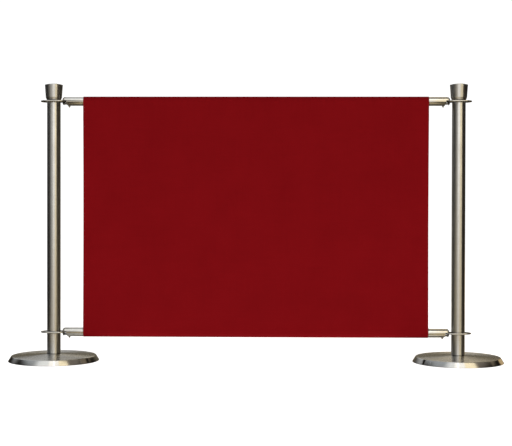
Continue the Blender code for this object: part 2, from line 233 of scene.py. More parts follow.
def wire(points, radius, cyclic=False):
    """A round wire through the given points."""
    curve = bpy.data.curves.new("wire", "CURVE")
    curve.dimensions = "3D"
    curve.bevel_depth = radius
    curve.bevel_resolution = 5
    curve.use_fill_caps = True
    spline = curve.splines.new("POLY")
    spline.points.add(len(points) - 1)
    for point, place in zip(spline.points, points):
        point.co = (*place, 1)
    spline.use_cyclic_u = cyclic
    return baked(bpy.data.objects.new("wire", curve))


def baked(obj):
    """The finished mesh of a curve or of an object with modifiers; the object itself is removed."""
    bpy.context.scene.collection.objects.link(obj)
    depsgraph = bpy.context.evaluated_depsgraph_get()
    mesh = bpy.data.meshes.new_from_object(obj.evaluated_get(depsgraph))
    bpy.data.objects.remove(obj)
    welded = bmesh.new()
    welded.from_mesh(mesh)
    bmesh.ops.remove_doubles(welded, verts=welded.verts, dist=SAME_PLACE)
    welded.to_mesh(mesh)
    welded.free()
    return shaded(mesh)


def cut(mesh, cutters, edge_round=0.0):
    """A mesh with others cut out of it, and with its sharp edges rounded if edge_round says how far."""
    obj = bpy.data.objects.new("cut", mesh)
    tools = []
    for cutter in cutters:
        tool = bpy.data.objects.new("cutter", cutter)
        bpy.context.scene.collection.objects.link(tool)
        tools.append(tool)
        boolean = obj.modifiers.new("Cut", "BOOLEAN")
        boolean.object = tool
    if edge_round:
        bevel = obj.modifiers.new("Edges", "BEVEL")
        bevel.width = edge_round
        bevel.segments = 2
        bevel.limit_method = "ANGLE"
        bevel.angle_limit = radians(BEVEL_ANGLE)
    finished = baked(obj)
    for tool in tools:
        bpy.data.objects.remove(tool)
    return finished


def joined(meshes):
    """Several meshes as one."""
    shape = bmesh.new()
    for mesh in meshes:
        shape.from_mesh(mesh)
    mesh = bpy.data.meshes.new("joined")
    shape.to_mesh(mesh)
    shape.free()
    return shaded(mesh)


def piece(node, mesh, finish, place=Matrix()):
    """The fine piece that stands for a CAD node, in the finish of that material slot."""
    obj = bpy.data.objects.new(f"fine_{node}", mesh)
    bpy.context.scene.collection.objects.link(obj)
    if not mesh.materials:
        mesh.materials.append(FINISHES[finish])
    obj.matrix_world = place
    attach(obj, BODY_OF[node])
    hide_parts(node)
    return obj


# ---------------------------------------------------------------- node tools


def add_node(tree, kind, inputs=None, **settings):
    """A shader node with its settings, and its inputs given as values or as other nodes' outputs."""
    made = tree.nodes.new("ShaderNode" + kind)
    for name, value in settings.items():
        setattr(made, name, value)
    for name, value in (inputs or {}).items():
        if isinstance(value, bpy.types.NodeSocket):
            tree.links.new(value, made.inputs[name])
        else:
            made.inputs[name].default_value = value
    return made


def calc(tree, operation, *values):
    """The output of a Math node."""
    return add_node(tree, "Math", dict(enumerate(values)), operation=operation).outputs[0]


def total(tree, values):
    result = values[0]
    for value in values[1:]:
        result = calc(tree, "ADD", result, value)
    return result


def weighed(tree, *parts):
    """The sum of (value, share) pairs, each value times its share."""
    return total(tree, [calc(tree, "MULTIPLY", value, share) for value, share in parts])


def vector_of(tree, x, y, z):
    return add_node(tree, "CombineXYZ", {"X": x, "Y": y, "Z": z}).outputs[0]


def remap(tree, value, start, end, to_start=0.0, to_end=1.0, smooth=False):
    kind = "SMOOTHSTEP" if smooth else "LINEAR"
    inputs = {"Value": value, "From Min": start, "From Max": end, "To Min": to_start, "To Max": to_end}
    return add_node(tree, "MapRange", inputs, interpolation_type=kind).outputs[0]


def grain(tree, vector, scale, detail=3.0, roughness=0.55):
    inputs = {"Vector": vector, "Scale": scale, "Detail": detail, "Roughness": roughness}
    return add_node(tree, "TexNoise", inputs).outputs["Fac"]


def stretched_grain(tree, vector, scales, detail):
    """Noise that is drawn out along the axes with the smaller scales."""
    mapped = add_node(tree, "Mapping", {"Vector": vector, "Scale": scales}).outputs[0]
    return grain(tree, mapped, 1, detail)


def blend_colour(tree, share, first, second):
    """From one colour to another; each is (red, green, blue) or another node's output."""
    colours = [one if isinstance(one, bpy.types.NodeSocket) else (*one, 1) for one in (first, second)]
    return add_node(tree, "Mix", {0: share, 6: colours[0], 7: colours[1]}, data_type="RGBA").outputs[2]


def new_finish(name):
    material = bpy.data.materials.new(name + "_finish")
    material.use_nodes = True
    return material, material.node_tree, material.node_tree.nodes["Principled BSDF"]


def wire_up(tree, shader, **links):
    """Links outputs to the shader's sockets, with _ for a space in a socket's name."""
    for name, output in links.items():
        tree.links.new(output, shader.inputs[name.replace("_", " ")])


def bump(tree, height, distance, strength, under=None):
    inputs = {"Height": height, "Distance": distance, "Strength": strength}
    if under:
        inputs["Normal"] = under
    return add_node(tree, "Bump", inputs).outputs["Normal"]


# ---------------------------------------------------------------- finishes


# Painted shade: steel is darkened towards this colour where ambient occlusion finds it closed in, in notches,
# recesses and beside joints
PAINTED_SHADE_COLOUR = (0.05, 0.045, 0.04)
PAINTED_SHADE_FADE = (0.4, 0.85)  # how open the place is where the painted shade is full, and where there is none


def with_painted_shade(tree, colour, reach):
    """Painted shade: darkens steel in notches and beside joints by how closed in they are, in place of the shade
    that falls there.
    """
    open_share = add_node(tree, "AmbientOcclusion", {"Distance": reach}, samples=12).outputs["AO"]
    return blend_colour(tree, remap(tree, open_share, *PAINTED_SHADE_FADE), PAINTED_SHADE_COLOUR, colour)


def turned_steel(name, tints, roughness, across, streaks, anisotropic, polished_from=None):
    """Steel ground or spun round its own Z axis: fine lines run round it and spread reflections across them.

    across is how much the radius and the height each move through the lines, and streaks how quickly the
    tone changes round the axis. From the radius polished_from outwards the steel is buffed bright."""
    material, tree, shader = new_finish(name)
    place = add_node(tree, "TexCoord").outputs["Object"]
    x, y, z = add_node(tree, "SeparateXYZ", {"Vector": place}).outputs
    squares = calc(tree, "ADD", calc(tree, "MULTIPLY", x, x), calc(tree, "MULTIPLY", y, y))
    radius = calc(tree, "POWER", squares, 0.5)
    through = weighed(tree, (radius, across[0]), (z, across[1]))

    def lines(along, pitch, detail):
        """Noise in lines this far apart; along is how quickly it changes on a line."""
        vector = vector_of(
            tree,
            calc(tree, "MULTIPLY", x, along),
            calc(tree, "MULTIPLY", y, along),
            calc(tree, "MULTIPLY", through, 1 / pitch),
        )
        return grain(tree, vector, 1.0, detail)

    fine = lines(30, 0.0006, 4)
    broad = lines(14, 0.006, 3)
    smudge = grain(tree, place, 16, 4, 0.6)
    spoke = vector_of(
        tree,
        calc(tree, "DIVIDE", x, radius),
        calc(tree, "DIVIDE", y, radius),
        calc(tree, "MULTIPLY", radius, 3.0),
    )
    sector = grain(tree, spoke, streaks, 3, 0.65)

    tone = weighed(tree, (fine, 0.35), (broad, 0.2), (smudge, 0.25), (sector, 0.2))
    colour = blend_colour(tree, remap(tree, tone, 0.36, 0.64), *tints)
    rough = calc(
        tree,
        "ADD",
        remap(tree, fine, 0.3, 0.7, roughness[0], roughness[1]),
        remap(tree, smudge, 0.35, 0.7, -0.02, 0.06),
    )
    if polished_from:
        fade = 0.002
        buffed = remap(tree, radius, polished_from, polished_from + fade, 1.0, 0.6, smooth=True)
        rough = calc(tree, "MULTIPLY", rough, buffed)
    normal = bump(tree, fine, 0.00003, 0.25)
    normal = bump(tree, broad, 0.0002, 0.03, normal)
    tangent = add_node(tree, "Tangent", direction_type="RADIAL", axis="Z").outputs[0]
    # painted shade in recesses and beside joints, from ambient occlusion
    colour = with_painted_shade(tree, colour, 0.006)
    wire_up(tree, shader, Base_Color=colour, Roughness=rough, Normal=normal, Tangent=tangent)
    shader.inputs["Metallic"].default_value = 1.0
    shader.inputs["Anisotropic"].default_value = anisotropic
    shader.inputs["Anisotropic Rotation"].default_value = 0.25
    return material


def polished_steel(name):
    """Bright steel with faint polishing swirls, finger haze and the odd hairline scratch."""
    material, tree, shader = new_finish(name)
    place = add_node(tree, "TexCoord").outputs["Object"]
    haze = grain(tree, place, 55, 4, 0.6)
    swirl = stretched_grain(tree, place, (900, 60, 60), 3)
    scratch = stretched_grain(tree, place, (130, 1400, 1400), 2)
    hairline = remap(tree, scratch, 0.70, 0.76)
    colour = blend_colour(tree, remap(tree, haze, 0.3, 0.7), (0.70, 0.68, 0.63), (0.62, 0.59, 0.53))
    rough = total(
        tree,
        [
            remap(tree, haze, 0.35, 0.7, 0.13, 0.21),
            calc(tree, "MULTIPLY", swirl, 0.05),
            calc(tree, "MULTIPLY", hairline, 0.15),
        ],
    )
    normal = bump(tree, swirl, 0.00003, 0.12)
    # the colour carries painted shade in the notch and beside joints, from ambient occlusion
    wire_up(tree, shader, Base_Color=with_painted_shade(tree, colour, 0.03), Roughness=rough, Normal=normal)
    shader.inputs["Metallic"].default_value = 1.0
    return material


def zinc_plate(name):
    """Bluish plating with a fine crystal spangle."""
    material, tree, shader = new_finish(name)
    place = add_node(tree, "TexCoord").outputs["Object"]
    spangle = add_node(tree, "TexVoronoi", {"Vector": place, "Scale": 700}).outputs["Color"]
    tone = add_node(tree, "SeparateColor", {"Color": spangle}).outputs[0]
    haze = grain(tree, place, 150, 4)
    colour = blend_colour(tree, tone, (0.52, 0.53, 0.56), (0.66, 0.67, 0.68))
    rough = calc(tree, "ADD", remap(tree, tone, 0, 1, 0.26, 0.36), calc(tree, "MULTIPLY", haze, 0.08))
    # painted shade in recesses and beside joints, from ambient occlusion
    colour = with_painted_shade(tree, colour, 0.03)
    wire_up(tree, shader, Base_Color=colour, Roughness=rough, Normal=bump(tree, haze, 0.0001, 0.2))
    shader.inputs["Metallic"].default_value = 1.0
    return material


def cast_iron(name):
    """Painted rough casting: grainy, with worn high spots."""
    material, tree, shader = new_finish(name)
    place = add_node(tree, "TexCoord").outputs["Object"]
    sand = grain(tree, place, 600, 5, 0.7)
    lump = grain(tree, place, 60, 4)
    worn = remap(tree, calc(tree, "ADD", sand, calc(tree, "MULTIPLY", lump, 0.5)), 0.86, 0.98)
    colour = blend_colour(tree, worn, (0.016, 0.016, 0.017), (0.09, 0.085, 0.08))
    rough = remap(tree, sand, 0.3, 0.7, 0.62, 0.85)
    normal = bump(tree, lump, 0.0008, 0.3, bump(tree, sand, 0.0003, 0.6))
    wire_up(tree, shader, Base_Color=colour, Roughness=rough, Normal=normal)
    return material


def floor_rubber(name):
    """Black moulded rubber with a fine matt grain and a little dust."""
    material, tree, shader = new_finish(name)
    place = add_node(tree, "TexCoord").outputs["Object"]
    pores = grain(tree, place, 1500, 4, 0.7)
    dust = grain(tree, place, 40, 5, 0.65)
    colour = blend_colour(tree, remap(tree, dust, 0.5, 0.75), (0.012, 0.012, 0.012), (0.05, 0.047, 0.043))
    rough = remap(tree, pores, 0.3, 0.7, 0.75, 0.92)
    wire_up(tree, shader, Base_Color=colour, Roughness=rough, Normal=bump(tree, pores, 0.0002, 0.4))
    return material


def banner_cloth(name):
    """Dark red coated canvas: a plain weave with uneven threads under a matt coat."""
    material, tree, shader = new_finish(name)
    place = add_node(tree, "TexCoord").outputs["Object"]
    x, _, z = add_node(tree, "SeparateXYZ", {"Vector": place}).outputs
    pitch = 0.0011
    warp = calc(tree, "SINE", calc(tree, "MULTIPLY", x, pi / pitch))
    weft = calc(tree, "SINE", calc(tree, "MULTIPLY", z, pi / pitch))
    over = calc(tree, "MULTIPLY", calc(tree, "MULTIPLY", warp, weft), 4)
    warp_height = calc(tree, "MULTIPLY", calc(tree, "ABSOLUTE", warp), remap(tree, over, -1, 1))
    weft_height = calc(tree, "MULTIPLY", calc(tree, "ABSOLUTE", weft), remap(tree, over, 1, -1))
    weave = calc(tree, "MAXIMUM", warp_height, weft_height)

    slub = stretched_grain(tree, place, (6, 6, 420), 3)
    slub_up = stretched_grain(tree, place, (420, 6, 6), 3)
    mottle = grain(tree, place, 7, 4, 0.6)
    tone = weighed(tree, (weave, 0.16), (slub, 0.22), (slub_up, 0.22), (mottle, 0.4))
    reds = ((0.170, 0.0027, 0.0048), (0.198, 0.0035, 0.0060))
    colour = blend_colour(tree, remap(tree, tone, 0.38, 0.62), *reds)
    rough = remap(tree, weave, 0, 1, 0.86, 0.74)
    normal = bump(tree, slub, 0.0002, 0.10, bump(tree, weave, 0.00025, 0.5))
    wire_up(tree, shader, Base_Color=colour, Roughness=rough, Normal=normal)
    shader.inputs["Specular IOR Level"].default_value = 0.02
    return material


FINISHES = {
    "brushed_steel": turned_steel(
        "brushed_steel",
        tints=((0.77, 0.76, 0.74), (0.69, 0.675, 0.64)),
        roughness=(0.28, 0.35),
        across=(1.0, 1.0),
        streaks=1.0,
        anisotropic=0.97,
    ),
    "spun_steel": turned_steel(
        "spun_steel",
        tints=((0.64, 0.63, 0.61), (0.50, 0.475, 0.42)),
        roughness=(0.20, 0.28),
        across=(1.0, -1.0),
        streaks=5.0,
        anisotropic=0.96,
        polished_from=BASE_EDGE_R - 0.003,
    ),
    "polished_steel": polished_steel("polished_steel"),
    "zinc_plated_steel": zinc_plate("zinc_plated_steel"),
    "cast_iron": cast_iron("cast_iron"),
    "rubber": floor_rubber("rubber"),
    "banner_fabric": banner_cloth("banner_fabric"),
}


# ---------------------------------------------------------------- posts


def base_cover():
    """Spun shell: a flat landing, a shallow cone, a sloped rim and a lip folded in under it."""
    lip_width, lip_round, landing_round = 0.0045, 0.0005, 0.03
    lip_inner_r = BASE_R - lip_width
    lip_top_z = BASE_RIM_Z + COVER_WALL
    inner_edge_r = BASE_EDGE_R - COVER_WALL
    outline = [
        (BASE_HOLE_R, BASE_TOP_Z),
        (BASE_LANDING_R, BASE_TOP_Z, landing_round),
        (BASE_EDGE_R, BASE_EDGE_Z, BASE_EDGE_ROUND),
        (BASE_R, BASE_RIM_Z + 0.0004, lip_round),
        (BASE_R - 0.001, BASE_RIM_Z, lip_round),
        (lip_inner_r, BASE_RIM_Z, lip_round),
        (lip_inner_r, lip_top_z, lip_round),
        (BASE_R - 2.2 * COVER_WALL, lip_top_z, 0.0004),
        (inner_edge_r, BASE_EDGE_Z - COVER_WALL, BASE_EDGE_ROUND - COVER_WALL),
        (BASE_LANDING_R, BASE_TOP_Z - COVER_WALL, landing_round),
        (BASE_HOLE_R, BASE_TOP_Z - COVER_WALL),
    ]
    return turned(rounded(outline, steps=8), steps=256, ring=True)


def base_weight():
    """Cast disc with a counterbore for the bolt's head and rounded cast edges."""
    gap = COVER_WALL + CLEARANCE
    cast_round = 0.001
    outline = [
        (BASE_HOLE_R, BASE_TOP_Z - gap),
        (BASE_LANDING_R, BASE_TOP_Z - gap),
        (BASE_EDGE_R - gap, BASE_EDGE_Z - gap, BASE_EDGE_ROUND),
        (BASE_R - 4 * gap, WEIGHT_Z, cast_round),
        (COUNTERBORE[0], WEIGHT_Z, cast_round),
        (*COUNTERBORE, cast_round),
        (BASE_HOLE_R, COUNTERBORE[1]),
    ]
    return turned(rounded(outline, steps=5), steps=192, ring=True)


def floor_ring():
    """Flat rubber ring with three shallow grooves in its underside."""
    groove, groove_count, chamfer = 0.0006, 3, 0.0005
    pitch = (FLOOR_RING_R - FLOOR_RING_INNER_R) / (groove_count + 1)
    outline = [(FLOOR_RING_INNER_R, FLOOR_RING_HEIGHT), (FLOOR_RING_R, FLOOR_RING_HEIGHT)]
    outline += [(FLOOR_RING_R, chamfer), (FLOOR_RING_R - chamfer, 0)]
    for k in range(groove_count):
        centre = FLOOR_RING_R - pitch * (k + 1)
        outline += [(centre + 2 * groove, 0), (centre + groove, groove), (centre - groove, groove)]
        outline.append((centre - 2 * groove, 0))
    outline += [(FLOOR_RING_INNER_R + chamfer, 0), (FLOOR_RING_INNER_R, chamfer)]
    return turned(outline, steps=192, ring=True)


def post_tube():
    inner = POST_R - POST_WALL
    low, high = POST_Z
    edge = 0.0006
    outline = [(inner, high, edge), (POST_R, high, edge), (POST_R, low, edge), (inner, low, edge)]
    return turned(rounded(outline, steps=4), steps=128, ring=True)


def crown_cap():
    """Spun cap: shallow dome, crisp rim, flared side down to a waist, and a seat on the post."""
    rim_round, waist_round, seat_round = 0.0010, 0.006, 0.0006
    rise = CAP_Z[1] - CAP_RIM_Z
    dome_r = (CAP_R**2 + rise**2) / (2 * rise)
    rim_angle = 90 - degrees(atan2(CAP_R, dome_r - rise))
    dome = arc((0, CAP_Z[1] - dome_r), dome_r, 90, rim_angle, 24)
    corners = [tuple(point) for point in dome[:-1]]
    corners += [
        (*dome[-1], rim_round),
        (*CAP_WAIST, waist_round),
        (CAP_SEAT_R, CAP_Z[0], seat_round),
        (CAP_SEAT_R - CAP_WALL, CAP_Z[0]),
        (CAP_WAIST[0] - CAP_WALL, CAP_WAIST[1]),
        (CAP_R - CAP_WALL, CAP_RIM_Z - CAP_WALL),
        (CAP_BOSS_R, CAP_Z[1] - 2 * CAP_WALL),
        (CAP_BOSS_R, CAP_Z[0]),
        (CAP_HOLE[0], CAP_Z[0]),
        CAP_HOLE,
        (0, CAP_HOLE[1]),
    ]
    return turned(rounded(corners, steps=8), steps=128)


def weld_bead():
    """A short rippled bead along X."""
    half, bead_r, steps = 0.008, 0.0017, 72
    ripples, ripple_height = 9, 0.12
    outline = []
    for k in range(steps + 1):
        t = 2 * k / steps - 1
        swell = (1 - t * t) ** 0.5 if abs(t) < 1 else 0
        ripple = 1 + ripple_height * abs(sin(pi * ripples * (t + 1) / 2))
        outline.append((bead_r * swell * ripple, -half * t))
    return turned(outline, steps=24, matrix=ALONG_X)


def wire_ring():
    """The closed ring, and behind the post the beads that weld it on above and below the wire."""
    near = arc((RING_END, 0), RING_BEND_R, -90, 90, 40)
    far = arc((-RING_END, 0), RING_BEND_R, 90, 270, 40)
    meshes = [wire([(x, y, 0) for x, y in near + far], WIRE_R, cyclic=True)]
    bead_y = POST_R + 0.0008
    for up in (-1, 1):
        bead = weld_bead()
        bead.transform(Matrix.Translation((0, bead_y, up * WIRE_R * 0.75)))
        meshes.append(bead)
    return joined(meshes)


def build_posts():
    turned_pieces = {
        "base_cover": (base_cover(), "spun_steel"),
        "base_weight": (base_weight(), "cast_iron"),
        "floor_ring": (floor_ring(), "rubber"),
        "post_tube": (post_tube(), "brushed_steel"),
        "crown_cap": (crown_cap(), "brushed_steel"),
    }
    ring = wire_ring()
    for side in SIDES:
        axis = middle(f"{side}_post_tube").x
        for name, (mesh, finish) in turned_pieces.items():
            piece(f"{side}_{name}", mesh, finish, Matrix.Translation((axis, 0, 0)))
        for level in LEVELS:
            piece(f"{side}_{level}_ring", ring, "polished_steel", Matrix.Translation((axis, 0, BAR_Z[level])))


# ---------------------------------------------------------------- crossbars


def screw_hole(place):
    """The room round a countersunk screw standing on the bar's axis."""
    top = 2 * BAR_R
    grow = CLEARANCE
    outline = [
        (0, top),
        (SCREW_HEAD_R + grow, top),
        (SCREW_HEAD_R + grow, SCREW_TOP),
        (SCREW_R + grow, SCREW_TOP - (SCREW_HEAD_R - SCREW_R)),
        (SCREW_R + grow, SCREW_TIP - grow),
        (0, SCREW_TIP - grow),
    ]
    return turned(outline, steps=48, matrix=Matrix.Translation((place, 0, 0)))


def latch_axis():
    return Matrix.Translation((0, 0, -LATCH_DROP)) @ ALONG_X


def slot_cutter():
    """A round-ended slot under the bar for the trigger's travel."""
    travel = JOINTS["top_left_latch_slide"]["range_m"][1]
    radius = SLOT_WIDTH / 2
    near_end = arc((TRIGGER_PLACE, 0), radius, 90, 270, 16)
    far_end = arc((TRIGGER_PLACE + travel, 0), radius, -90, 90, 16)
    shape = bmesh.new()
    roof = shape.faces.new([shape.verts.new((x, y, -LATCH_DROP)) for x, y in near_end + far_end])
    drawn = bmesh.ops.extrude_face_region(shape, geom=[roof])["geom"]
    sunk = [v for v in drawn if isinstance(v, bmesh.types.BMVert)]
    bmesh.ops.translate(shape, verts=sunk, vec=(0, 0, -BAR_R))
    bmesh.ops.recalc_face_normals(shape, faces=shape.faces)
    mesh = bpy.data.meshes.new("slot")
    shape.to_mesh(mesh)
    shape.free()
    return mesh


def hook_end():
    """Solid bar end with a round nose, a notch that drops over the ring's wire, and the latch's bore."""
    spigot_round, shoulder_round = 0.001, 0.0004
    outline = [
        (0, SPIGOT_END),
        (SPIGOT_R, SPIGOT_END, spigot_round),
        (SPIGOT_R, SHOULDER),
        (BAR_R, SHOULDER, shoulder_round),
        (BAR_R, NOSE, NOSE_ROUND),
        (0, NOSE),
    ]
    notch_outline = [
        (NOTCH_R[0], NOTCH_ROOF),
        (NOTCH_R[1], NOTCH_ROOF),
        (NOTCH_R[1], -2 * BAR_R),
        (NOTCH_R[0], -2 * BAR_R),
    ]
    notch = turned(notch_outline, steps=192, matrix=Matrix.Translation((RING_END, 0, 0)), ring=True)
    bore_start = RING_END + sum(NOTCH_R) / 2
    bore = drill(BORE_R, bore_start, 2 * SPIGOT_END, steps=48)
    bore.transform(latch_axis())
    body = turned(rounded(outline, steps=10), steps=96, matrix=ALONG_X)
    return cut(body, [notch, bore, slot_cutter(), screw_hole(SCREW_PLACE)], edge_round=0.0004)


def latch_bolt():
    """Round bolt with a hole from below for the trigger's shank."""
    hole = drill(TRIGGER_SHANK_R + CLEARANCE, -BAR_R, 0, steps=32)
    hole.transform(Matrix.Translation((TRIGGER_PLACE, 0, -LATCH_DROP)))
    return cut(rod(LATCH_R, *LATCH_X, LATCH_CHAMFER, latch_axis()), [hole])


def latch_trigger():
    """Turned pull: a shank, a rimmed head with a waist under it, and a blunt point."""
    flare, rim_top, rim_bottom = TRIGGER_HEAD_Z
    outline = [
        (0, -LATCH_DROP - CLEARANCE),
        (TRIGGER_SHANK_R, -LATCH_DROP - CLEARANCE, 0.0003),
        (TRIGGER_SHANK_R, flare),
        (TRIGGER_HEAD_R, rim_top, 0.0003),
        (TRIGGER_HEAD_R, rim_bottom, 0.0005),
        (TRIGGER_TIP_R, TRIGGER_TIP_Z[0], 0.0006),
        (0, TRIGGER_TIP_Z[1]),
    ]
    return turned(rounded(outline, steps=5), steps=48, matrix=Matrix.Translation((TRIGGER_PLACE, 0, 0)))


def latch_spring(length):
    """A compression spring of that length along X from the origin, with closed ends."""
    steps = 22
    count = (SPRING_TURNS + 1) * steps
    coil = []
    for k in range(count + 1):
        turn = k / steps
        share = min(max((turn - 0.5) / SPRING_TURNS, 0), 1)
        x = SPRING_WIRE_R + (length - 2 * SPRING_WIRE_R) * share
        coil.append((x, SPRING_R * cos(2 * pi * turn), SPRING_R * sin(2 * pi * turn)))
    return wire(coil, SPRING_WIRE_R)


def crossbar():
    inner = BAR_R - BAR_WALL
    edge = 0.0004
    outline = [
        (inner, BAR_HALF, edge),
        (BAR_R, BAR_HALF, edge),
        (BAR_R, -BAR_HALF, edge),
        (inner, -BAR_HALF, edge),
    ]
    bar = turned(rounded(outline, steps=3), steps=96, matrix=ALONG_X, ring=True)
    return cut(bar, [screw_hole(sign * (POST_X - SCREW_PLACE)) for sign in (-1, 1)])


def hook_frame(side, level):
    """A hook's own frame, in which +X runs from its post towards the bar's middle."""
    place = Matrix.Translation((middle(f"{side}_post_tube").x, 0, BAR_Z[level]))
    return place if side == "left" else place @ Matrix.Rotation(pi, 4, "Z")


def build_crossbars():
    bar = crossbar()
    hook_pieces = {
        "hook_end": (hook_end(), "polished_steel"),
        "latch_bolt": (latch_bolt(), "zinc_plated_steel"),
        "latch_trigger": (latch_trigger(), "polished_steel"),
    }
    spring_size = extent("top_left_latch_spring").x
    spring = latch_spring(spring_size)
    for level in LEVELS:
        piece(f"{level}_crossbar", bar, "polished_steel", Matrix.Translation((0, 0, BAR_Z[level])))
        for side in SIDES:
            place = hook_frame(side, level)
            for name, (mesh, finish) in hook_pieces.items():
                piece(f"{level}_{side}_{name}", mesh, finish, place)
            build_spring(f"{level}_{side}", spring, place)


def build_spring(latch, mesh, place):
    """A latch's spring, laid along the latch from the end of its CAD box nearer the post, on its own copy of the
    mesh.
    """
    node = f"{latch}_latch_spring"
    low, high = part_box(node)
    outward = place.to_3x3() @ Vector((1, 0, 0))
    start = (low.x if outward.x > 0 else high.x) - place.translation.x
    local = Matrix.Translation((abs(start), 0, -LATCH_DROP))
    spring = piece(node, mesh, "zinc_plated_steel", place @ local)
    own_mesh(spring)


# ---------------------------------------------------------------- banner


def pocket_leave_angle():
    """Where a pocket's back layer leaves the bar for the weld, in degrees."""
    to_weld = atan2(-POCKET_DEPTH, BANNER_WALL - POCKET_R)
    return degrees(to_weld + acos(POCKET_R / hypot(POCKET_R - BANNER_WALL, POCKET_DEPTH)))


def pocket_line(level):
    """The sheet's middle line from the front, round the bar, down the back layer and along the weld."""
    up = 1 if level == "top" else -1
    loop = arc((0, 0), POCKET_R, 180, pocket_leave_angle(), 40)
    weld_y = BANNER_WALL - POCKET_R
    weld_end = -POCKET_DEPTH - WELD
    tail = rounded([tuple(loop[-1]), (weld_y, -POCKET_DEPTH, BEND_R), (weld_y, weld_end)], 6)
    spacing = 0.004
    for start, end in zip([loop[-1], *tail[1:]], tail[1:]):
        runs = max(round((end - start).length / spacing), 1)
        loop += [start.lerp(end, k / runs) for k in range(1, runs + 1)]
    return [(y, BAR_Z[level] + up * z) for y, z in loop]


def banner_line():
    """The whole sheet's middle line in (y, z), from one weld's free edge to the other's."""
    top, bottom = pocket_line("top"), pocket_line("bottom")
    front_steps = 110
    rise = BAR_Z["top"] - BAR_Z["bottom"]
    front = [(-POCKET_R, BAR_Z["bottom"] + rise * k / front_steps) for k in range(1, front_steps)]
    return bottom[::-1] + front + top


def stretched_cloth(x, y, z):
    """Where a point of the flat sheet ends up once the sheet is pulled tight between the bars."""
    share = (z - BAR_Z["bottom"]) / (BAR_Z["top"] - BAR_Z["bottom"])
    slack = sin(pi * min(max(share, 0), 1)) if y < -POCKET_R + BANNER_WALL / 4 else 0
    broad = noise.noise(Vector((x * BROAD_WAVES[0], 3.1, z * BROAD_WAVES[1])))
    fine = noise.noise(Vector((x * FINE_WAVES[0], 8.7, z * FINE_WAVES[1])))
    pull_in = PULL_IN * slack * x / BANNER_HALF
    return (x - pull_in, y + WAVE_HEIGHT * slack * (broad + FINE_SHARE * fine), z)


def build_banner():
    """One sheet, plain in front, with a pocket for each bar welded behind it."""
    line = banner_line()
    columns = 180
    places = [BANNER_HALF * (2 * k / columns - 1) for k in range(columns + 1)]
    shape = bmesh.new()
    rows = []
    for y, z in line:
        rows.append([shape.verts.new(stretched_cloth(x, y, z)) for x in places])
    for lower, upper in zip(rows, rows[1:]):
        for k in range(columns):
            shape.faces.new((lower[k], lower[k + 1], upper[k + 1], upper[k]))
    mesh = bpy.data.meshes.new("banner_sheet")
    shape.to_mesh(mesh)
    shape.free()
    obj = bpy.data.objects.new("cloth", mesh)
    thick = obj.modifiers.new("Thickness", "SOLIDIFY")
    thick.thickness = BANNER_WALL
    thick.offset = 0
    banner = piece("banner", baked(obj), "banner_fabric")
    banner.visible_glossy = False


# ---------------------------------------------------------------- inner pieces


def finish_inner_pieces():
    """Every CAD node without a fine piece takes its slot's procedural finish."""
    for obj in frame["nodes"].values():
        if obj.hide_render:
            continue
        slot = obj.material_slots[0].material.name.split(".")[0]
        obj.data.materials[0] = FINISHES[slot]


# ---------------------------------------------------------------- studio


# Glowing panels: their left and right edges along X, their lower and upper ones, how far in front of the
# posts they stand (less than 0 is behind), their light, and how far their left and right edges fade.
# Two tall soft boxes stand side by side behind the camera and a narrow bright strip hangs over it.
KEY = ((-1.4, 2.2), (-2.0, 12.5), 5.5, (1.0, 0.985, 0.96), 0.15)
WARM = ((1.1, 8.0), (-2.0, 12.5), 5.6, (1.0, 0.88, 0.63), 1.2)
STRIP = ((-0.22, 0.38), (3.9, 7.6), 4.1, (2.6, 2.6, 2.6), 0.2)
# A low golden card stands a little behind the posts, to the right of the right base
GOLD = ((1.04, 1.66), (0.0, 0.31), -0.55, (0.66, 0.49, 0.27), 0.12)
# How bright the tall boxes are at each height, as (elevation from the banner in degrees, strength)
BOX_PROFILE = ((-20, 0.5), (-6, 0.85), (6, 1.1), (20, 1.3), (34, 1.6), (48, 1.6), (57, 2.0), (65, 1.8))

# Light of the room by direction: azimuth from the camera's side towards +X and elevation, in degrees, how
# far their edges fade, and their light. Azimuths end at 180 both ways, so an edge past that doesn't fade.
SKY_BOXES = (
    ((-38, 20), (-14, 30), (70, 14), (0.57, 0.56, 0.54)),
    ((-124, 2), (38, 91), (20, 14), (0.50, 0.54, 0.59)),
    ((-45, 30), (32, 70), (30, 14), (0.80, 0.80, 0.79)),
    ((48, 108), (38, 91), (12, 12), (0.24, 0.21, 0.18)),
    ((100, 140), (27, 44), (8, 6), (0.22, 0.18, 0.13)),
    ((-220, -120), (18, 91), (40, 16), (0.58, 0.60, 0.63)),
    ((158, 220), (20, 60), (20, 14), (0.90, 0.80, 0.62)),
)
BACK_GLOW = ((0.17, 0.15, 0.11), 45)  # light round +Y, and how far it reaches in degrees
DARK_SIDES = (0.012, 0.011, 0.009)
WARM_GROUND = (0.45, 0.37, 0.23)
GROUND_SIDES = (38, 85)  # azimuths between which the ground grows dark
GROUND_LEAST = 0.06
HORIZON = (-14, -4)  # elevations between which the ground gives way to the room
BACKDROP = 1.1  # strength of the white that only the camera sees

FLOOR_R = 3.0
FLOOR_GLOW = 0.85
# The floor that steel mirrors is bright in front of the barrier, dark just behind it, bright again farther
# back, and dark at both sides: the places along Y and the distances from the middle between which it changes
NEAR_FLOOR = (-0.35, 0.05)
FAR_FLOOR = (0.6, 1.6)
FLOOR_SIDES = (0.85, 1.3)
MIRRORED_LEAST = 0.08
MIRRORED_FAR = 0.9

# The photograph's camera: its place, its lens and sensor in millimetres, and its turns in degrees
CAMERA_PLACE = (0.0779, -4.0629, 0.5426)
LENS, SENSOR = 79.4, 36
YAW, PITCH, ROLL = 1.072, 0.616, 0.1126


def scaled(tree, light, share):
    return add_node(tree, "VectorMath", {0: light, "Scale": share}, operation="SCALE").outputs[0]


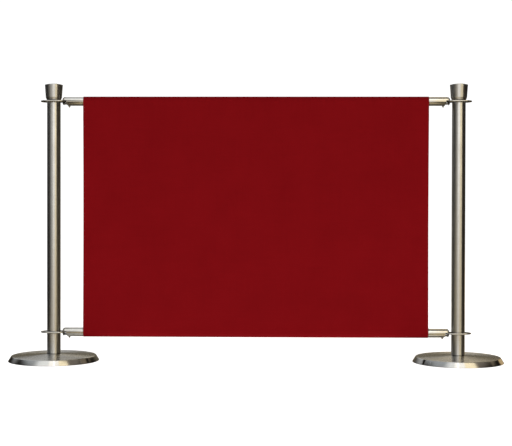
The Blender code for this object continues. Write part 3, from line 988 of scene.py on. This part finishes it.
def between(tree, value, start, end, fade):
    """1 between start and end and 0 outside, with a soft change at both."""
    rise = remap(tree, value, start - fade / 2, start + fade / 2, smooth=True)
    fall = remap(tree, value, end - fade / 2, end + fade / 2, 1.0, 0.0, smooth=True)
    return calc(tree, "MULTIPLY", rise, fall)


def build_world():
    """Soft room light by direction, and plain white behind the object."""
    world = bpy.data.worlds.new("studio")
    bpy.context.scene.world = world
    world.use_nodes = True
    tree = world.node_tree
    tree.nodes.clear()
    way = add_node(tree, "TexCoord").outputs["Generated"]
    x, y, z = add_node(tree, "SeparateXYZ", {"Vector": way}).outputs
    azimuth = calc(tree, "DEGREES", calc(tree, "ARCTAN2", x, calc(tree, "MULTIPLY", y, -1.0)))
    elevation = calc(tree, "DEGREES", calc(tree, "ARCSINE", z))

    glow, reach = BACK_GLOW
    behind = remap(tree, calc(tree, "ABSOLUTE", azimuth), 180 - reach, 180, smooth=True)
    above = remap(tree, elevation, *HORIZON, smooth=True)
    ahead = remap(tree, calc(tree, "ABSOLUTE", azimuth), *GROUND_SIDES, 1.0, GROUND_LEAST, smooth=True)
    light = scaled(tree, WARM_GROUND, calc(tree, "MULTIPLY", ahead, calc(tree, "SUBTRACT", 1.0, above)))
    layers = [scaled(tree, DARK_SIDES, above), scaled(tree, glow, calc(tree, "MULTIPLY", behind, above))]
    for across, up, (side_fade, end_fade), colour in SKY_BOXES:
        share = calc(
            tree,
            "MULTIPLY",
            between(tree, azimuth, *across, side_fade),
            between(tree, elevation, *up, end_fade),
        )
        layers.append(scaled(tree, colour, share))
    for layer in layers:
        light = add_node(tree, "VectorMath", {0: light, 1: layer}, operation="ADD").outputs[0]

    room = add_node(tree, "Background", {"Color": light, "Strength": 1.0})
    white = add_node(tree, "Background", {"Color": (1, 1, 1, 1), "Strength": BACKDROP})
    seen = add_node(tree, "LightPath").outputs["Is Camera Ray"]
    mix = add_node(tree, "MixShader", {0: seen, 1: room.outputs[0], 2: white.outputs[0]})
    add_node(tree, "OutputWorld", {"Surface": mix.outputs[0]})
    world.cycles.sampling_method = "MANUAL"
    world.cycles.sample_map_resolution = 1024


def soft_box(name, across, up, distance, light, fade, profile=None):
    """An upright glowing panel in front of the posts or behind them that doesn't show itself."""
    width, height = across[1] - across[0], up[1] - up[0]
    bpy.ops.mesh.primitive_plane_add(size=1)
    panel = bpy.context.object
    panel.name = name
    panel.data.transform(Matrix.Rotation(pi / 2, 4, "X") @ Matrix.Diagonal((width, height, 1, 1)))
    panel.location = (sum(across) / 2, -distance, sum(up) / 2)
    panel.visible_camera = False

    material = bpy.data.materials.new(name)
    material.use_nodes = True
    tree = material.node_tree
    tree.nodes.clear()
    x, _, z = add_node(tree, "SeparateXYZ", {"Vector": add_node(tree, "TexCoord").outputs["Object"]}).outputs
    share = between(tree, x, (fade - width) / 2, (width - fade) / 2, fade)
    strength = 1.0
    if profile:
        ramp = add_node(tree, "ValToRGB", {"Fac": remap(tree, z, -height / 2, height / 2)})
        stops = ramp.color_ramp.elements
        eye = middle("banner").z
        for k, (elevation, level) in enumerate(profile):
            place = (eye + distance * tan(radians(elevation)) - up[0]) / height
            stop = stops[k] if k < 2 else stops.new(place)
            stop.position = place
            stop.color = (level, level, level, 1)
        strength = ramp.outputs["Color"]
    glow = add_node(tree, "Emission", {"Color": (*light, 1), "Strength": strength})
    clear = add_node(tree, "BsdfTransparent")
    mix = add_node(tree, "MixShader", {0: share, 1: clear.outputs[0], 2: glow.outputs[0]})
    add_node(tree, "OutputMaterial", {"Surface": mix.outputs[0]})
    panel.data.materials.append(material)


def build_floor():
    """A plain pale floor, which steel mirrors as a warmer one that is dark just behind the barrier."""
    bpy.ops.mesh.primitive_circle_add(vertices=128, radius=FLOOR_R, fill_type="NGON")
    floor = bpy.context.object
    floor.name = "floor"
    material, tree, shader = new_finish("floor")
    place = add_node(tree, "TexCoord").outputs["Object"]
    cloud = grain(tree, place, 3, 4)
    colour = blend_colour(tree, cloud, (0.90, 0.90, 0.90), (0.86, 0.86, 0.86))
    wire_up(tree, shader, Base_Color=colour)
    shader.inputs["Roughness"].default_value = 0.9
    shader.inputs["Specular IOR Level"].default_value = 0.0
    shader.inputs["Emission Color"].default_value = (1, 1, 1, 1)
    shader.inputs["Emission Strength"].default_value = FLOOR_GLOW

    x, y, _ = add_node(tree, "SeparateXYZ", {"Vector": place}).outputs
    ahead = remap(tree, y, *NEAR_FLOOR, 1.0, MIRRORED_LEAST, smooth=True)
    behind = remap(tree, y, *FAR_FLOOR, 0.0, MIRRORED_FAR, smooth=True)
    off_middle = calc(tree, "ABSOLUTE", x)
    inside = remap(tree, off_middle, *FLOOR_SIDES, 1.0, MIRRORED_LEAST, smooth=True)
    strength = calc(tree, "MULTIPLY", calc(tree, "ADD", ahead, behind), inside)
    glow = add_node(tree, "Emission", {"Color": (*WARM_GROUND, 1), "Strength": strength})
    mirrored = add_node(tree, "LightPath").outputs["Is Glossy Ray"]
    mix = add_node(tree, "MixShader", {0: mirrored, 1: shader.outputs[0], 2: glow.outputs[0]})
    output = next(node for node in tree.nodes if node.type == "OUTPUT_MATERIAL")
    tree.links.new(mix.outputs[0], output.inputs["Surface"])
    floor.data.materials.append(material)


def build_camera():
    """The photograph's view: a long lens near the banner's middle height, nearly level."""
    data = bpy.data.cameras.new("camera")
    data.sensor_width = SENSOR
    data.lens = LENS
    camera = bpy.data.objects.new("camera", data)
    bpy.context.scene.collection.objects.link(camera)
    camera.location = CAMERA_PLACE
    level_turn = Euler((pi / 2 - radians(PITCH), 0, radians(YAW)), "XYZ").to_matrix()
    turn = level_turn @ Matrix.Rotation(radians(ROLL), 3, "Z")
    camera.rotation_euler = turn.to_euler()
    bpy.context.scene.camera = camera


build_posts()
build_crossbars()
build_banner()
finish_inner_pieces()
build_world()
soft_box("key_light", *KEY, BOX_PROFILE)
soft_box("warm_light", *WARM, BOX_PROFILE)
soft_box("strip_light", *STRIP)
soft_box("golden_card", *GOLD)
build_floor()
build_camera()
bpy.context.scene.view_settings.view_transform = "Standard"
